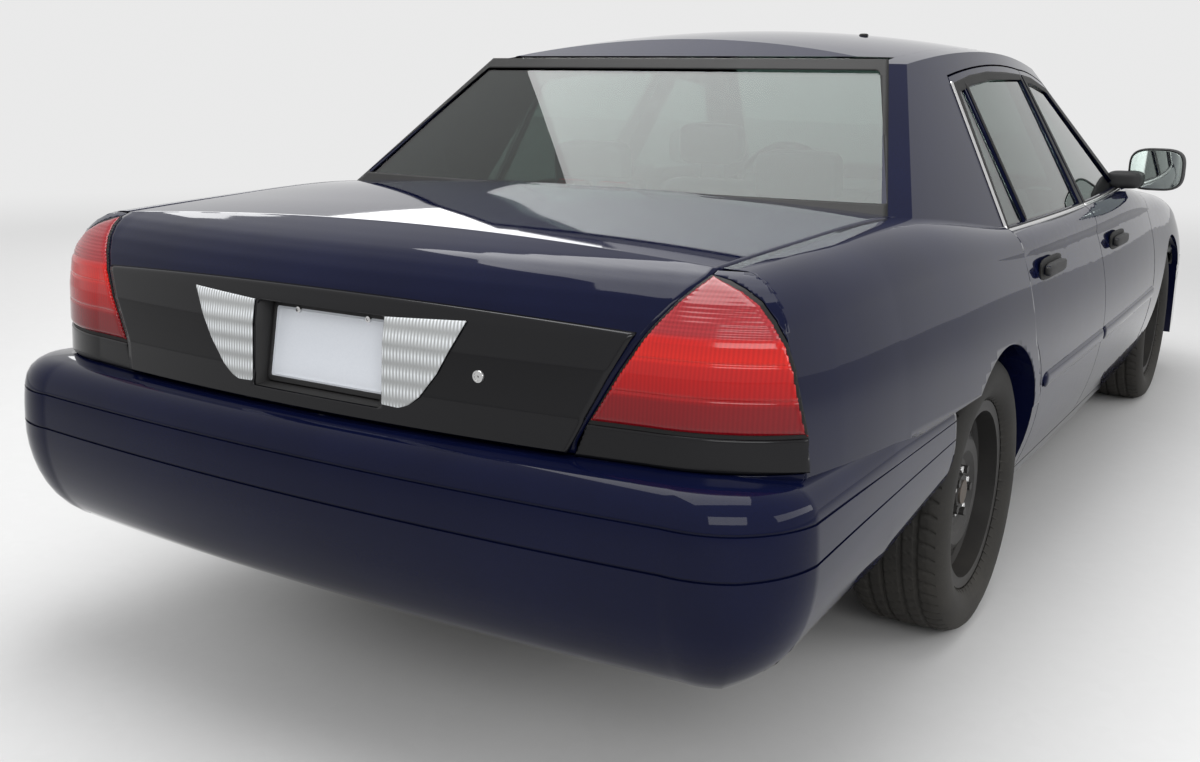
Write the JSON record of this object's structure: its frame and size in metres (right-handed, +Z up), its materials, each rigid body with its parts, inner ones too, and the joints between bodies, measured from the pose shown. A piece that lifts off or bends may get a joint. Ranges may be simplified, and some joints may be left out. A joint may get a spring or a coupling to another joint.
{
  "type": "four-door police patrol car",
  "caption": "Full-size saloon patrol car on a perimeter frame, with opening doors, bonnet and boot lid, steered front wheels and turning steel wheels.",
  "frame": {"origin": "on the ground under the middle of the car's overall box", "axes": "+X forward, +Y to the car's left, +Z up"},
  "size_m": [5.385, 2.26, 1.4898],
  "materials": {
    "navy_paint": "dark navy metallic gloss",
    "black_paint": "black chassis paint, satin",
    "black_trim": "black plastic, matt",
    "gloss_black": "black plastic, gloss",
    "tinted_glass": "green-grey tinted glass",
    "red_lens": "red lens",
    "clear_lens": "clear lens",
    "white_plate": "blank plate, white",
    "grey_trim": "grey interior plastic",
    "grey_cloth": "grey cloth",
    "wheel_paint": "black matt wheel paint",
    "tyre": "black rubber",
    "cast_iron": "machined and cast iron",
    "steel": "steel",
    "engine": "cast aluminium"
  },
  "bodies": {
    "body": {"chassis_frame": "black_paint", "floor_pan": "navy_paint", "side_frame_left": "navy_paint", "side_frame_right": "navy_paint", "roof_panel": "navy_paint", "front_wings": "navy_paint", "front_bumper": "navy_paint", "rear_bumper": "navy_paint", "grille": "black_trim", "headlamps": "clear_lens", "tail_lamps": "red_lens", "windscreen": "tinted_glass", "rear_window": "tinted_glass", "dashboard": "grey_trim", "front_seats": "grey_cloth", "rear_seat": "grey_cloth", "parcel_shelf": "grey_trim", "engine_block": "engine", "exhaust": "steel", "fuel_tank": "black_trim", "rear_axle": "cast_iron"},
    "front_door_left": {"door_front_left": "navy_paint", "glass_front_left": "tinted_glass", "mirror_left": "black_trim"},
    "rear_door_left": {"door_rear_left": "navy_paint", "glass_rear_left": "tinted_glass"},
    "front_door_right": {"door_front_right": "navy_paint", "glass_front_right": "tinted_glass", "mirror_right": "black_trim"},
    "rear_door_right": {"door_rear_right": "navy_paint", "glass_rear_right": "tinted_glass"},
    "bonnet": {"bonnet": "navy_paint"},
    "boot_lid": {"boot_lid": "navy_paint", "lid_panel": "gloss_black", "reverse_lamps": "clear_lens", "number_plate": "white_plate"},
    "steering_wheel": {"steering_wheel": "black_trim"},
    "knuckle_left": {"knuckle_left": "cast_iron"},
    "knuckle_right": {"knuckle_right": "cast_iron"},
    "wheel_front_left": {"rim_front_left": "wheel_paint", "tyre_front_left": "tyre"},
    "wheel_front_right": {"rim_front_right": "wheel_paint", "tyre_front_right": "tyre"},
    "wheel_rear_left": {"rim_rear_left": "wheel_paint", "tyre_rear_left": "tyre"},
    "wheel_rear_right": {"rim_rear_right": "wheel_paint", "tyre_rear_right": "tyre"}
  },
  "joints": [
    {"name": "front_door_left", "type": "hinge", "parent": "body", "child": "front_door_left", "pos_m": [1.034, 0.985, 0.62], "axis": [0, 0, -1], "range_deg": [0, 65]},
    {"name": "rear_door_left", "type": "hinge", "parent": "body", "child": "rear_door_left", "pos_m": [-0.06, 0.985, 0.62], "axis": [0, 0, -1], "range_deg": [0, 65]},
    {"name": "front_door_right", "type": "hinge", "parent": "body", "child": "front_door_right", "pos_m": [1.034, -0.985, 0.62], "axis": [0, 0, 1], "range_deg": [0, 65]},
    {"name": "rear_door_right", "type": "hinge", "parent": "body", "child": "rear_door_right", "pos_m": [-0.06, -0.985, 0.62], "axis": [0, 0, 1], "range_deg": [0, 65]},
    {"name": "bonnet", "type": "hinge", "parent": "body", "child": "bonnet", "pos_m": [1.165, 0, 0.992], "axis": [0, -1, 0], "range_deg": [0, 50]},
    {"name": "boot_lid", "type": "hinge", "parent": "body", "child": "boot_lid", "pos_m": [-1.628, 0, 1.05], "axis": [0, 1, 0], "range_deg": [0, 70]},
    {"name": "steer_left", "type": "hinge", "parent": "body", "child": "knuckle_left", "pos_m": [1.622, 0.74, 0.345], "axis": [0, 0, 1], "range_deg": [-32, 32]},
    {"name": "steer_right", "type": "hinge", "parent": "body", "child": "knuckle_right", "pos_m": [1.622, -0.74, 0.345], "axis": [0, 0, 1], "range_deg": [-32, 32]},
    {"name": "steering_wheel", "type": "hinge", "parent": "body", "child": "steering_wheel", "pos_m": [0.505, 0.395, 0.905], "axis": [0.9, 0, -0.436], "range_deg": [-480, 480]},
    {"name": "wheel_front_left", "type": "hinge", "parent": "knuckle_left", "child": "wheel_front_left", "pos_m": [1.622, 0.8, 0.345], "axis": [0, 1, 0], "continuous": true},
    {"name": "wheel_front_right", "type": "hinge", "parent": "knuckle_right", "child": "wheel_front_right", "pos_m": [1.622, -0.8, 0.345], "axis": [0, 1, 0], "continuous": true},
    {"name": "wheel_rear_left", "type": "hinge", "parent": "body", "child": "wheel_rear_left", "pos_m": [-1.291, 0.833, 0.345], "axis": [0, 1, 0], "continuous": true},
    {"name": "wheel_rear_right", "type": "hinge", "parent": "body", "child": "wheel_rear_right", "pos_m": [-1.291, -0.833, 0.345], "axis": [0, 1, 0], "continuous": true}
  ],
  "couplings": [
    {"joint": "steer_right", "follows": "steer_left", "ratio": 1},
    {"joint": "steering_wheel", "follows": "steer_left", "ratio": -15}
  ]
}
